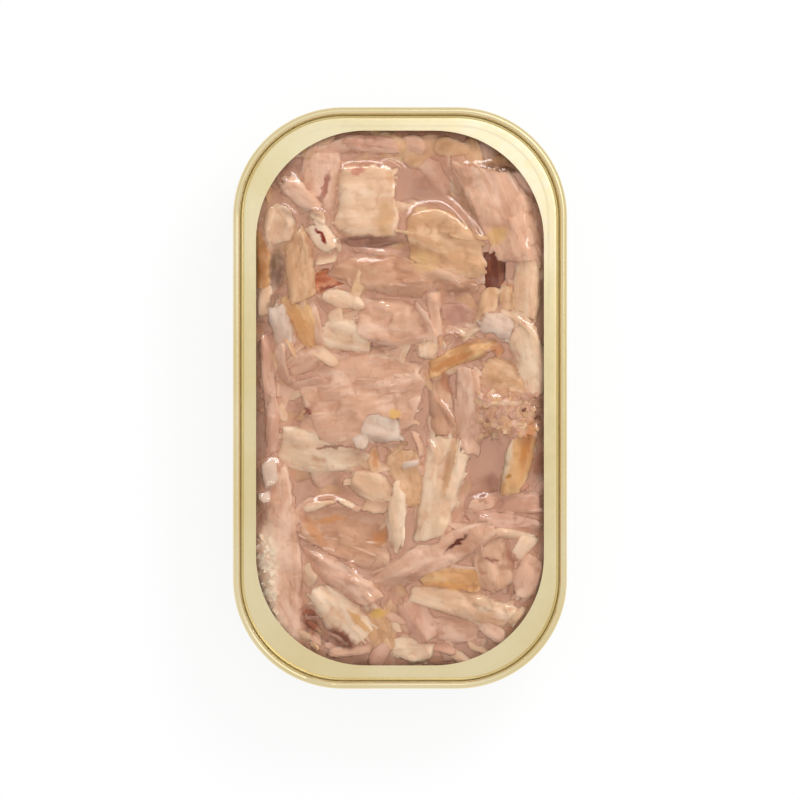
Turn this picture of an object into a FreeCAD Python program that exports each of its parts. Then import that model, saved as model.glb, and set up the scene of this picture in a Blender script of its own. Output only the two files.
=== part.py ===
import FreeCAD, Part
import math
import os

Vector = FreeCAD.Vector

# An opened oblong can of flaked meat in jelly.  Lengths are millimetres, Z is up, and the can stands
# on Z = 0 with its length along Y.  The lid panel has been torn out along its score, so only the
# lid's seamed ring is left, and the meat lies in its jelly below that ring.

# ---- the can from outside, measured over the double seam
can_length = 104.8
can_width = 60.2
can_height = 24.5
corner_radius = 19.8

# ---- sheet metal
body_sheet = 0.24
lid_sheet = 0.24
layer_gap = 0.02            # left between two pressed layers of the seam

# ---- double seam: the lid's cover hook is locked inside the body's hook
seam_height = 3.0
seam_corner = 0.45          # middle radius of the seam's rounded top
hook_clearance = 0.12       # between the end of a hook and the fold that it points at

# ---- what is left of the lid
groove_depth = 3.55         # countersink, from the rim down to its underside
groove_width = 0.56
panel_drop = 2.45           # from the rim down to the top of the shoulder
shoulder_bend = 0.40
shoulder_width = 1.25       # from the groove's inner wall to the step in the panel
step_drop = 0.22
step_run = 0.35
lip_width = 0.66            # from the step in the panel to the torn edge
opening_corner = 19.8       # larger than the seam's corner leaves, so the lip is widest there
score_width = 0.28          # strip of half thickness that the score leaves along the torn edge

# ---- base: stepped in so that it nests in the rim of a like can, with a raised panel
nest_step = 0.75
nest_height = 2.6
nest_slope = 0.7
base_bend = 1.2
foot_width = 2.3            # from the base wall's middle to the first rise
rise_height = 0.5           # each of the two rises of the base panel
rise_run = 0.6
rise_spacing = 1.9
base_step_bend = 0.45

# ---- filling
fill_drop = 5.25            # from the rim down to the level of the jelly
fill_gap = 0.05             # between the filling and the metal
headroom = 4.35             # no meat stands nearer to the rim than this
layout_length = 96.6        # opening for which the table of meat pieces is drawn
layout_width = 52.0

half_length = can_length / 2
half_width = can_width / 2
fill_level = can_height - fill_drop
meat_ceiling = can_height - headroom

# insets of the five layers of the seam, each to the middle of its sheet, from the outside in
outer_lid_inset = lid_sheet / 2
body_hook_inset = lid_sheet + layer_gap + body_sheet / 2
cover_hook_inset = body_hook_inset + body_sheet / 2 + layer_gap + lid_sheet / 2
body_wall_inset = cover_hook_inset + lid_sheet / 2 + layer_gap + body_sheet / 2
chuck_wall_inset = body_wall_inset + body_sheet / 2 + layer_gap + lid_sheet / 2

# the lid's other insets: both walls of the groove, the step, and the torn edge
panel_wall_inset = chuck_wall_inset + groove_width + lid_sheet
step_inset = panel_wall_inset - lid_sheet / 2 + shoulder_width
opening_inset = step_inset + step_run + lip_width
opening_length = can_length - 2 * opening_inset
opening_width = can_width - 2 * opening_inset


# ------------------------------------------------------------------------------------ sheet metal

def rounded_rectangle(half_x, half_y, radius, z):
    """Closed wire that starts at the lower end of its right side and runs anticlockwise."""
    cx, cy = half_x - radius, half_y - radius
    edges = []
    for quarter, (x, y) in enumerate([(cx, cy), (-cx, cy), (-cx, -cy), (cx, -cy)]):
        start = math.radians(90 * quarter)
        begin = Vector(x + radius * math.cos(start), y + radius * math.sin(start), z)
        middle = Vector(x + radius * math.cos(start + math.pi / 4),
                        y + radius * math.sin(start + math.pi / 4), z)
        end = Vector(x + radius * math.cos(start + math.pi / 2),
                     y + radius * math.sin(start + math.pi / 2), z)
        if edges:
            edges.append(Part.LineSegment(edges[-1].Vertexes[-1].Point, begin).toShape())
        edges.append(Part.Arc(begin, middle, end).toShape())
    edges.append(Part.LineSegment(edges[-1].Vertexes[-1].Point, edges[0].Vertexes[0].Point).toShape())
    return Part.Wire([edges[-1]] + edges[:-1])


def inset_prism(inset, bottom, top):
    """Block with the can's outline drawn in by inset."""
    outline = rounded_rectangle(half_width - inset, half_length - inset, corner_radius - inset, bottom)
    return Part.Face(outline).extrude(Vector(0, 0, top - bottom))


def shifted(points, distance):
    """Open line of (inset, z) points moved sideways, to the left of its direction."""
    normals = []
    for (x0, z0), (x1, z1) in zip(points, points[1:]):
        length = math.hypot(x1 - x0, z1 - z0)
        normals.append((-(z1 - z0) / length, (x1 - x0) / length))
    moved = []
    for i, (x, z) in enumerate(points):
        before = normals[max(i - 1, 0)]
        after = normals[min(i, len(normals) - 1)]
        spread = 1 + before[0] * after[0] + before[1] * after[1]
        moved.append((x + distance * (before[0] + after[0]) / spread,
                      z + distance * (before[1] + after[1]) / spread))
    return moved


def rounded_line(points, radii):
    """Edges along a line of (inset, z) points, with each inner corner rounded to its radius."""
    def place(point):
        return Vector(half_width - point[0], -(half_length - corner_radius), point[1])

    edges = []
    here = points[0]
    for corner, after, radius in zip(points[1:-1], points[2:], radii):
        to_corner = Vector(corner[0] - here[0], corner[1] - here[1], 0)
        onward = Vector(after[0] - corner[0], after[1] - corner[1], 0)
        turn = to_corner.getAngle(onward)
        cut = radius * math.tan(turn / 2)
        to_corner.normalize()
        onward.normalize()
        start = (corner[0] - cut * to_corner.x, corner[1] - cut * to_corner.y)
        end = (corner[0] + cut * onward.x, corner[1] + cut * onward.y)
        inward = onward - to_corner
        inward.normalize()
        reach = radius / math.cos(turn / 2) - radius
        middle = (corner[0] + reach * inward.x, corner[1] + reach * inward.y)
        if math.dist(here, start) > 1e-6:
            edges.append(Part.LineSegment(place(here), place(start)).toShape())
        edges.append(Part.Arc(place(start), place(middle), place(end)).toShape())
        here = end
    edges.append(Part.LineSegment(place(here), place(points[-1])).toShape())
    return edges


def side_radii(points, bends, shift):
    """Radii of the bends on the face that lies shift to the left of the sheet's middle."""
    radii = []
    for (x0, z0), (x1, z1), (x2, z2), bend in zip(points, points[1:], points[2:], bends):
        left_turn = (x1 - x0) * (z2 - z1) - (z1 - z0) * (x2 - x1) > 0
        radii.append(bend - shift if left_turn else bend + shift)
    return radii


def sheet_section(points, bends, sheet):
    """Face of a bent strip, from the line along its middle, its bend radii and its thickness."""
    left = shifted(points, sheet / 2)
    right = shifted(points, -sheet / 2)
    left_edges = rounded_line(left, side_radii(points, bends, sheet / 2))
    right_edges = rounded_line(right, side_radii(points, bends, -sheet / 2))
    ends = [Part.LineSegment(left_edges[i].Vertexes[i].Point, right_edges[i].Vertexes[i].Point).toShape()
            for i in (0, -1)]
    return Part.Face(Part.Wire(Part.__sortEdges__(left_edges + right_edges + ends)))


def swept_round(section):
    """Solid made by taking a section once round the can."""
    straight_x = half_width - corner_radius
    straight_y = half_length - corner_radius
    runs = [2 * straight_y, 2 * straight_x, 2 * straight_y, 2 * straight_x]
    centres = [(straight_x, straight_y), (-straight_x, straight_y),
               (-straight_x, -straight_y), (straight_x, -straight_y)]
    up = Vector(0, 0, 1)
    pieces = []
    for quarter, (run, centre) in enumerate(zip(runs, centres)):
        along = Vector(-math.sin(math.radians(90 * quarter)), math.cos(math.radians(90 * quarter)), 0)
        pieces.append(section.extrude(along * run))
        section = section.translated(along * run)
        corner = Vector(centre[0], centre[1], 0)
        pieces.append(section.revolve(corner, up, 90))
        section = section.rotated(corner, up, 90)
    return pieces[0].fuse(pieces[1:]).removeSplitter()


# The strip that becomes the body, from the end of its hook down to the middle of the base.
body_line = [
    (body_hook_inset, can_height - seam_height + 2 * lid_sheet + hook_clearance + layer_gap),
    (body_hook_inset, can_height - lid_sheet - layer_gap - body_sheet / 2),
    (body_wall_inset, can_height - lid_sheet - layer_gap - body_sheet / 2),
    (body_wall_inset, nest_height + nest_slope),
    (body_wall_inset + nest_step, nest_height),
    (body_wall_inset + nest_step, body_sheet / 2),
    (body_wall_inset + nest_step + foot_width, body_sheet / 2),
    (body_wall_inset + nest_step + foot_width + rise_run, body_sheet / 2 + rise_height),
    (body_wall_inset + nest_step + foot_width + rise_spacing, body_sheet / 2 + rise_height),
    (body_wall_inset + nest_step + foot_width + rise_spacing + rise_run,
     body_sheet / 2 + 2 * rise_height),
    (body_wall_inset + nest_step + foot_width + 2 * rise_spacing, body_sheet / 2 + 2 * rise_height),
]
hook_bend = (body_wall_inset - body_hook_inset) / 2
body_bends = [hook_bend, hook_bend, base_step_bend, base_step_bend, base_bend] + [base_step_bend] * 4
base_panel_inset = body_line[-1][0]
base_panel_middle = body_line[-1][1]


def make_can_body():
    wall = swept_round(sheet_section(body_line, body_bends, body_sheet))
    panel = inset_prism(base_panel_inset, base_panel_middle - body_sheet / 2,
                        base_panel_middle + body_sheet / 2)
    return wall.fuse(panel).removeSplitter()


def make_lid_ring():
    """The lid's cover hook, seam top, chuck wall, groove, shoulder and torn panel edge."""
    rim = can_height - lid_sheet / 2
    curl = can_height - seam_height + lid_sheet / 2
    groove = can_height - groove_depth + lid_sheet / 2
    panel = can_height - panel_drop - lid_sheet / 2
    past_edge = opening_inset + opening_corner / 4
    cover_bend = (cover_hook_inset - outer_lid_inset) / 2
    groove_bend = (panel_wall_inset - chuck_wall_inset) / 2
    line = [
        (cover_hook_inset, can_height - lid_sheet - 2 * body_sheet - hook_clearance - layer_gap),
        (cover_hook_inset, curl),
        (outer_lid_inset, curl),
        (outer_lid_inset, rim),
        (chuck_wall_inset, rim),
        (chuck_wall_inset, groove),
        (panel_wall_inset, groove),
        (panel_wall_inset, panel),
        (step_inset, panel),
        (step_inset + step_run, panel - step_drop),
        (past_edge, panel - step_drop),
    ]
    bends = [cover_bend, cover_bend, seam_corner, seam_corner, groove_bend, groove_bend,
             shoulder_bend, shoulder_bend, shoulder_bend]
    ring = swept_round(sheet_section(line, bends, lid_sheet))
    torn_edge = rounded_rectangle(opening_width / 2, opening_length / 2, opening_corner, 0)
    score = rounded_rectangle(opening_width / 2 + score_width, opening_length / 2 + score_width,
                              opening_corner + score_width, panel - step_drop)
    ring = ring.cut(Part.Face(torn_edge).extrude(Vector(0, 0, can_height)))
    return ring.cut(Part.Face(score).extrude(Vector(0, 0, lid_sheet)))


# ---------------------------------------------------------------------------------------- filling

def make_filling(top):
    """Block that fills the body up to top, with fill_gap left along the metal."""
    reach = body_sheet / 2 + fill_gap
    below_wall = shifted(body_line, reach)[3:]
    profile = [(below_wall[0][0], top)] + below_wall
    edges = rounded_line(profile, side_radii(body_line, body_bends, reach)[2:])
    wall_top = edges[0].Vertexes[0].Point
    core_edge = edges[-1].Vertexes[-1].Point
    core_top = Vector(core_edge.x, core_edge.y, top)
    edges.append(Part.LineSegment(core_edge, core_top).toShape())
    edges.append(Part.LineSegment(core_top, wall_top).toShape())
    ring = swept_round(Part.Face(Part.Wire(Part.__sortEdges__(edges))))
    core = inset_prism(base_panel_inset, base_panel_middle + reach, top)
    return ring.fuse(core).removeSplitter()


# How blunt each form of piece is: its width at the two ends and just inside them, as shares of the
# width that the table gives there, and the power that shapes its section: at 1 the section is an
# ellipse, and under 1 it is squarer.
forms = {
    "block": (0.94, 1.00, 0.40),
    "flake": (0.82, 0.99, 0.46),
    "lump": (0.62, 0.94, 0.62),
    "leaf": (0.40, 0.84, 0.62),
}
station_shares = (0.0, 0.10, 0.37, 0.63, 0.90, 1.0)
section_poles = 10
tuck = 0.3                  # each side of a piece reaches this much under its neighbours
pole_overhang = 1.06        # the poles stand this much outside the skin that they shape
crown_share = 0.30          # part of the thickness above the widest line
unevenness = 0.07

# Each piece of meat as it lies: the middle of its chord, its length, its width at the start, middle
# and end, the heading of its grain in degrees from +X, how far its middle bows to the left of the
# chord, how far its two ends are cut askew, its form, how high its crown stands over the jelly, its
# thickness, and how far it leans along and across its grain.  A piece is pressed down by those
# that are listed before it.
meat = [
    # name             x      y    length  widths           heading bow  askew     form    rise thick lean
    ("yellow_strap", 10.8, 7.3, 14.6, (2.2, 3.0, 3.6), 26, 0.4, (0, 10), "flake", 0.85, 2.6, (0, -6)),
    ("pink_shred", 6.1, 15.2, 8.0, (1.8, 2.0, 1.6), -82, 0.3, (0, 0), "flake", 0.80, 2.2, (0, 0)),
    ("lilac_lump", 17.6, 13.0, 5.2, (4.0, 4.2, 4.0), -20, 0.0, (0, 0), "lump", 0.85, 3.0, (0, 0)),
    ("pale_lump", -3.4, -5.4, 5.6, (4.4, 4.6, 4.2), -10, 0.0, (0, 0), "lump", 0.85, 3.0, (0, 0)),
    ("leaf_flake", 22.5, 8.0, 15.4, (4.2, 5.6, 3.0), -74, 0.8, (-20, 0), "flake", 0.70, 3.4, (-2, 5)),
    ("side_flake", 22.7, 19.6, 9.6, (3.8, 4.4, 4.2), -92, 0.3, (0, 0), "flake", 0.60, 3.6, (2, 4)),
    ("dark_lump", 16.8, 23.1, 6.4, (3.9, 4.0, 3.4), -88, 0.0, (0, 0), "lump", 0.35, 3.4, (0, 0)),
    ("near_pebble", 16.2, 17.5, 4.4, (3.0, 3.2, 2.6), 85, 0.0, (0, 0), "lump", 0.65, 3.0, (0, 0)),
    ("far_pebble", 19.6, 18.0, 3.8, (2.8, 3.2, 2.8), 95, 0.0, (0, 0), "lump", 0.60, 3.0, (0, 0)),
    ("corner_wedge", 18.2, 33.2, 17.8, (11.4, 11.6, 7.8), -68, 1.1, (-30, -25), "block", 0.80, 4.6, (1, -2)),
    ("shell_flake", 8.2, 26.9, 13.4, (9.6, 11.6, 7.0), -15, 1.1, (16, 21), "flake", 0.75, 4.2, (1, 2)),
    ("cream_block", -5.8, 35.3, 12.4, (11.4, 10.2, 9.8), 90, 0.2, (2, -2), "block", 0.85, 5.0, (-1, 2)),
    ("cleft_flake", -13.9, 37.8, 12.8, (5.0, 6.4, 7.2), 93, 0.0, (-8, 0), "block", 0.35, 4.0, (-1, 3)),
    ("bar_flake", -17.7, 36.4, 7.0, (3.0, 3.2, 2.8), -42, 0.0, (0, 0), "flake", 0.75, 2.6, (0, 0)),
    ("rim_flake", -5.6, 45.9, 9.6, (2.4, 2.8, 2.2), -4, 0.3, (0, 15), "flake", 0.20, 2.6, (0, 3)),
    ("cap_lump", -21.9, 31.3, 6.8, (5.2, 5.4, 4.8), 80, 0.0, (0, 0), "lump", 0.55, 3.8, (0, -4)),
    ("vein_flap", -14.3, 29.2, 5.6, (3.2, 3.6, 2.8), -56, 0.3, (0, 0), "flake", 0.80, 3.0, (3, 0)),
    ("tan_plank", -17.9, 23.8, 12.8, (4.2, 4.8, 4.8), -88, -0.3, (10, -6), "flake", 0.75, 4.2, (2, 2)),
    ("amber_plank", -17.9, 14.2, 10.6, (4.2, 4.6, 3.4), -64, 0.4, (20, -20), "flake", 0.55, 3.8, (0, -4)),
    ("wall_strip", -24.9, 25.2, 10.6, (2.2, 2.4, 2.0), 90, 0.0, (0, 0), "flake", 0.25, 3.0, (0, 0)),
    ("white_flake", -21.5, 12.8, 7.4, (2.8, 3.8, 2.6), -76, 0.2, (0, 30), "flake", 0.65, 2.8, (-2, 4)),
    ("pink_bundle", 0.9, 21.5, 26.4, (4.8, 7.0, 3.8), -11, 0.4, (-15, 0), "flake", 0.70, 4.8, (0, 3)),
    ("red_wedge", -12.6, 21.6, 5.8, (4.6, 3.2, 1.8), 8, 0.0, (0, 0), "flake", 0.25, 3.2, (0, 0)),
    ("cream_spindle", -10.2, 17.6, 7.8, (2.4, 2.7, 2.4), -16, 0.2, (0, 0), "leaf", 0.60, 2.6, (0, 0)),
    ("oval_flake", -0.4, 13.3, 14.0, (6.8, 8.4, 6.8), -3, 0.3, (0, 0), "lump", 0.70, 4.6, (0, -3)),
    ("cream_lump", -9.6, 11.0, 8.4, (5.4, 6.2, 5.2), -12, 0.2, (0, 0), "lump", 0.60, 4.2, (0, 3)),
    ("small_slab", -17.4, 6.6, 5.2, (3.2, 3.6, 3.4), 25, 0.0, (0, 0), "flake", 0.45, 3.0, (0, 4)),
    ("left_strand", -23.8, 5.4, 12.8, (1.9, 2.0, 1.6), -86, -0.3, (0, 0), "flake", 0.35, 2.6, (0, 0)),
    ("left_ribbon", -23.3, -5.0, 11.6, (1.6, 1.9, 1.8), -90, 0.2, (0, 0), "flake", 0.45, 2.8, (0, 0)),
    ("cream_tab", 5.0, 10.4, 5.4, (2.6, 2.9, 2.4), 82, 0.0, (0, 0), "flake", 0.75, 2.8, (0, 0)),
    ("mauve_flake", 10.1, 15.2, 6.4, (3.8, 4.8, 3.6), -20, 0.0, (0, 0), "flake", 0.20, 3.4, (0, -4)),
    ("centre_slab", -6.5, -1.4, 20.0, (12.0, 17.8, 13.5), 7, 1.0, (15, -24), "flake", 0.60, 5.2, (1, -1)),
    ("tan_flake", 19.2, 3.4, 9.4, (5.2, 6.8, 5.6), -20, 0.0, (0, 0), "flake", 0.35, 4.0, (0, 4)),
    ("salmon_strip", 7.4, -0.8, 12.0, (3.8, 4.4, 3.6), -85, 0.0, (-20, 0), "flake", 0.40, 4.0, (0, 4)),
    ("long_plank", 12.2, -2.4, 15.2, (4.4, 4.8, 3.8), -90, 0.3, (-10, 0), "flake", 0.70, 4.0, (-1, 3)),
    ("crumb_heap", 19.2, -3.0, 10.4, (5.4, 6.2, 5.2), -5, 0.0, (0, 0), "lump", 0.65, 4.2, (0, 0)),
    ("orange_strap", 21.8, -10.6, 13.4, (2.8, 4.4, 3.6), -104, -0.3, (-10, 20), "flake", 0.65, 3.8, (0, -5)),
    ("lower_plank", 6.7, -16.6, 19.4, (8.0, 6.6, 5.6), -102, 0.7, (0, 14), "flake", 0.60, 4.8, (1, 3)),
    ("cream_shelf", -14.3, -9.8, 14.4, (7.4, 7.4, 3.0), -9, 0.0, (0, 0), "flake", 0.35, 4.4, (0, 2)),
    ("left_slab", -21.2, -27.5, 33.4, (4.0, 8.8, 5.4), -84, -1.1, (15, -31), "block", 0.60, 5.6, (0, 3)),
    ("shard_fan", 1.5, -14.6, 10.0, (6.0, 5.0, 2.4), -74, 0.0, (0, 0), "flake", 0.45, 3.6, (0, 0)),
    ("tan_lump", -5.2, -16.1, 7.2, (3.8, 4.8, 4.2), -25, 0.2, (0, 0), "lump", 0.60, 3.8, (0, 0)),
    ("splinter", -0.6, -22.2, 11.2, (2.8, 2.9, 2.0), -93, 0.0, (0, 0), "flake", 0.80, 2.8, (0, 4)),
    ("pink_strap", -11.5, -32.2, 16.2, (3.0, 4.6, 4.6), -35, 0.5, (0, -25), "flake", 0.75, 4.0, (0, 5)),
    ("salmon_flake", -9.8, -24.9, 16.6, (5.6, 10.6, 9.0), -12, 0.0, (15, 0), "flake", 0.45, 4.8, (0, -2)),
    ("diag_bundle", 6.4, -28.8, 23.0, (4.4, 6.4, 3.4), 27, 0.4, (20, 15), "flake", 0.75, 5.0, (1, 3)),
    ("gold_flake", -10.9, -39.2, 11.8, (3.4, 6.6, 4.0), -42, 0.3, (0, 0), "flake", 0.60, 4.0, (0, -4)),
    ("creased_chunk", 16.8, -30.0, 9.4, (6.6, 7.4, 5.6), -82, 0.2, (0, 0), "lump", 0.70, 4.6, (0, 0)),
    ("ridged_end", 11.2, -37.6, 18.8, (2.4, 4.6, 4.4), -13, 0.3, (0, -15), "flake", 0.65, 4.2, (-1, 3)),
    ("amber_lump", 9.4, -33.1, 11.4, (3.8, 5.2, 4.4), -4, 0.0, (0, 0), "flake", 0.50, 4.2, (0, 0)),
    ("tan_cheek", -3.6, -42.0, 7.0, (5.0, 5.6, 4.4), -75, 0.0, (0, 0), "lump", 0.35, 3.8, (0, 3)),
    ("pale_foot", 3.2, -40.4, 7.4, (5.0, 5.6, 4.8), -60, 0.2, (0, 0), "lump", 0.50, 4.0, (0, 0)),
    ("rosy_chip", 9.8, -41.7, 8.2, (3.8, 4.6, 3.8), -8, 0.0, (0, 0), "lump", 0.35, 3.6, (0, 0)),
    ("foot_lump", 2.3, -45.4, 6.6, (3.8, 4.4, 3.4), -8, 0.0, (0, 0), "lump", 0.55, 3.4, (0, -4)),
    ("right_chip", 23.2, -32.4, 7.8, (3.2, 4.6, 3.2), 72, 0.0, (0, 0), "flake", 0.45, 3.6, (0, 0)),
    ("side_band", 20.4, -18.9, 9.4, (2.6, 3.8, 3.4), -2, 0.0, (0, 0), "flake", 0.30, 3.6, (0, -4)),
    ("pale_band", 18.2, -22.5, 13.2, (2.0, 2.8, 2.8), -9, 0.3, (0, 0), "flake", 0.45, 3.4, (0, 3)),
]


def section_poles_at(middle, across, half_wide, thick, power, lean, ripple):
    """Poles of the closed curve round one station, flatter on its crown than on its belly."""
    crown = crown_share * thick
    belly = thick - crown
    up = Vector(0, 0, 1)
    tilt = math.radians(lean)
    side = across * math.cos(tilt) + up * math.sin(tilt)
    rise = up * math.cos(tilt) - across * math.sin(tilt)
    poles = []
    for k in range(section_poles):
        angle = 2 * math.pi * k / section_poles
        c, s = math.cos(angle), math.sin(angle)
        swell = pole_overhang * (1 + unevenness * math.sin(3 * angle + ripple))
        wide = half_wide * swell * math.copysign(abs(c) ** power, c)
        high = (crown if s > 0 else belly) * swell * math.copysign(abs(s) ** power, s)
        poles.append(middle + side * wide + rise * high)
    return poles


def skinned_solid(rows_of_poles):
    """Solid with one smooth skin over closed rows of poles, and a flat face at each end."""
    degree = 3
    spans = len(rows_of_poles) - degree
    skin = Part.BSplineSurface()
    skin.buildFromPolesMultsKnots(rows_of_poles,
                                  [degree + 1] + [1] * (spans - 1) + [degree + 1],
                                  [1] * (section_poles + 1),
                                  range(spans + 1), range(section_poles + 1),
                                  False, True, degree, degree)
    side = skin.toShape()
    rims = [edge for edge in side.Edges if edge.isClosed()]
    ends = [Part.Face(Part.Wire(edge)).reversed() for edge in rims]
    return Part.Solid(Part.Shell([side] + ends))


def make_piece(index, row, plan_x, plan_y, level):
    """One piece of meat, skinned over its stations, with its two ends cut flat."""
    name, x, y, length, widths, heading, bow, askew, form, rise, thick, (pitch, roll) = row
    start_wide, middle_wide, end_wide = widths
    tip, shoulder, power = forms[form]
    shares = (tip, shoulder, 1.0, 1.0, shoulder, tip)
    grain = Vector(math.cos(math.radians(heading)), math.sin(math.radians(heading)), 0)
    left = Vector(-grain.y, grain.x, 0)
    rows_of_poles = []
    for number, (t, share) in enumerate(zip(station_shares, shares)):
        wide = (start_wide * (1 - t) * (1 - 2 * t) + 4 * middle_wide * t * (1 - t)
                + end_wide * t * (2 * t - 1))
        wide = (wide + 2 * tuck) * share * (1 + unevenness * math.sin(2.1 * number + 1.7 * index))
        along = (t - 0.5) * (length + 2 * tuck)
        place = grain * along + left * (bow * 4 * t * (1 - t))
        cut = math.radians(askew[0] * (1 - t) + askew[1] * t)
        across = left * math.cos(cut) - grain * math.sin(cut)
        deep = thick * (0.55 + 0.45 * share)
        height = level + rise - crown_share * deep + along * math.sin(math.radians(pitch))
        height -= 0.5 * abs(along) * abs(math.sin(math.radians(pitch)))
        middle = Vector((x + place.x) * plan_x, (y + place.y) * plan_y, height)
        across = Vector(across.x * plan_x, across.y * plan_y, 0)
        rows_of_poles.append(section_poles_at(middle, across, wide / 2, deep, power, roll, number + index))
    return skinned_solid(rows_of_poles)


def biggest_solid(shape):
    return max(shape.Solids, key=lambda solid: solid.Volume)


def boxes_meet(a, b):
    return a.BoundBox.intersect(b.BoundBox)


def make_meat(room):
    """All pieces by name, each cut back by the pieces that press on it and kept inside the room."""
    plan_x = opening_width / layout_width
    plan_y = opening_length / layout_length
    pieces = {}
    for index, row in enumerate(meat):
        piece = make_piece(index, row, plan_x, plan_y, fill_level)
        piece = biggest_solid(piece.common(room))
        above = [other for other in pieces.values() if boxes_meet(piece, other)]
        if above:
            piece = biggest_solid(piece.cut(above))
        pieces[row[0]] = piece
    return pieces


os.makedirs("parts", exist_ok=True)
make_can_body().exportStep("parts/can_body.step")
make_lid_ring().exportStep("parts/lid_ring.step")
meat_pieces = make_meat(make_filling(meat_ceiling))
for name, piece in meat_pieces.items():
    piece.exportStep("parts/" + name + ".step")
jelly = make_filling(fill_level).cut(list(meat_pieces.values()))
biggest_solid(jelly).exportStep("parts/jelly.step")
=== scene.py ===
import math

import bpy
import bmesh
import numpy as np
from mathutils import Matrix, Vector
from mathutils.bvhtree import BVHTree


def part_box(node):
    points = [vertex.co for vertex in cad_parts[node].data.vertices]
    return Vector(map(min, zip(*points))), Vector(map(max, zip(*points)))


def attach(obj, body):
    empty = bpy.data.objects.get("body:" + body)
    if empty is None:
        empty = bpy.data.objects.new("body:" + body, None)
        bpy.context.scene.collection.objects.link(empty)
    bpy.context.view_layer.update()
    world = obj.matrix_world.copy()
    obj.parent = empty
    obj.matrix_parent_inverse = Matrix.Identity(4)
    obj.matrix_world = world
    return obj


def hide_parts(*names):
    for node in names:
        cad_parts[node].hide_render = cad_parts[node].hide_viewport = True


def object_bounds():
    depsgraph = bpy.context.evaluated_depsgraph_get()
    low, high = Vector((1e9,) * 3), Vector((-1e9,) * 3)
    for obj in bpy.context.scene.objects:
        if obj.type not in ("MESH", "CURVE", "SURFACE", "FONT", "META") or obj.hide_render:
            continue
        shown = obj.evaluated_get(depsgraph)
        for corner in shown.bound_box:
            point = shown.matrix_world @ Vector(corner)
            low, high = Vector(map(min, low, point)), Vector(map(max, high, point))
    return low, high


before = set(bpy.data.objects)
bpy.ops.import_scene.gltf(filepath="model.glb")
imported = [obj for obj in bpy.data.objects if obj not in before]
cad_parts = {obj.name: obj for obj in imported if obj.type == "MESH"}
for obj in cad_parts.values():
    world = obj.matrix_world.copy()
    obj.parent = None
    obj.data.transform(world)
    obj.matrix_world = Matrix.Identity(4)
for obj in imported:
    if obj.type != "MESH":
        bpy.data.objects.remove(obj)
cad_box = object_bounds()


# ---- Can body and lid ring ----
# Both are pressed from thin aluminium sheet with a clear gold lacquer baked on.
# The lid's rim is rolled over the body's flange in a double seam, and the lid's
# panel has been torn out along its score, which leaves a bare bright edge.

mm = 0.001
can_high = cad_box[1]


def mix_colours(tree, first, second, factor):
    """Mix node between two colours, each a socket or a plain value, by a factor socket."""
    node = tree.nodes.new("ShaderNodeMix")
    node.data_type = "RGBA"
    for socket, value in ((node.inputs[6], first), (node.inputs[7], second)):
        if isinstance(value, bpy.types.NodeSocket):
            tree.links.new(value, socket)
        else:
            socket.default_value = (*value, 1.0)
    tree.links.new(factor, node.inputs[0])
    return node.outputs[2]


def ramp(tree, value, low, high, to_low=0.0, to_high=1.0):
    """Value spread from the range low..high onto to_low..to_high, smoothly, and held there."""
    node = tree.nodes.new("ShaderNodeMapRange")
    node.interpolation_type = "SMOOTHSTEP"
    tree.links.new(value, node.inputs["Value"])
    node.inputs["From Min"].default_value = low
    node.inputs["From Max"].default_value = high
    node.inputs["To Min"].default_value = to_low
    node.inputs["To Max"].default_value = to_high
    return node.outputs["Result"]


def noise(tree, place, scale, detail=2.0, roughness=0.5, distortion=0.0):
    """Noise texture at a place socket; scale is in cells per metre."""
    node = tree.nodes.new("ShaderNodeTexNoise")
    node.inputs["Scale"].default_value = scale
    node.inputs["Detail"].default_value = detail
    node.inputs["Roughness"].default_value = roughness
    node.inputs["Distortion"].default_value = distortion
    tree.links.new(place, node.inputs["Vector"])
    return node.outputs["Fac"]


def linear(red, green, blue):
    """Linear colour of an sRGB colour given in parts of 255."""
    return tuple((c / 255 / 12.92) if c < 11 else ((c / 255 + 0.055) / 1.055) ** 2.4
                 for c in (red, green, blue))


def combined(tree, operation, first, second):
    """Math node over two value sockets."""
    node = tree.nodes.new("ShaderNodeMath")
    node.operation = operation
    tree.links.new(first, node.inputs[0])
    tree.links.new(second, node.inputs[1])
    return node.outputs[0]


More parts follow.
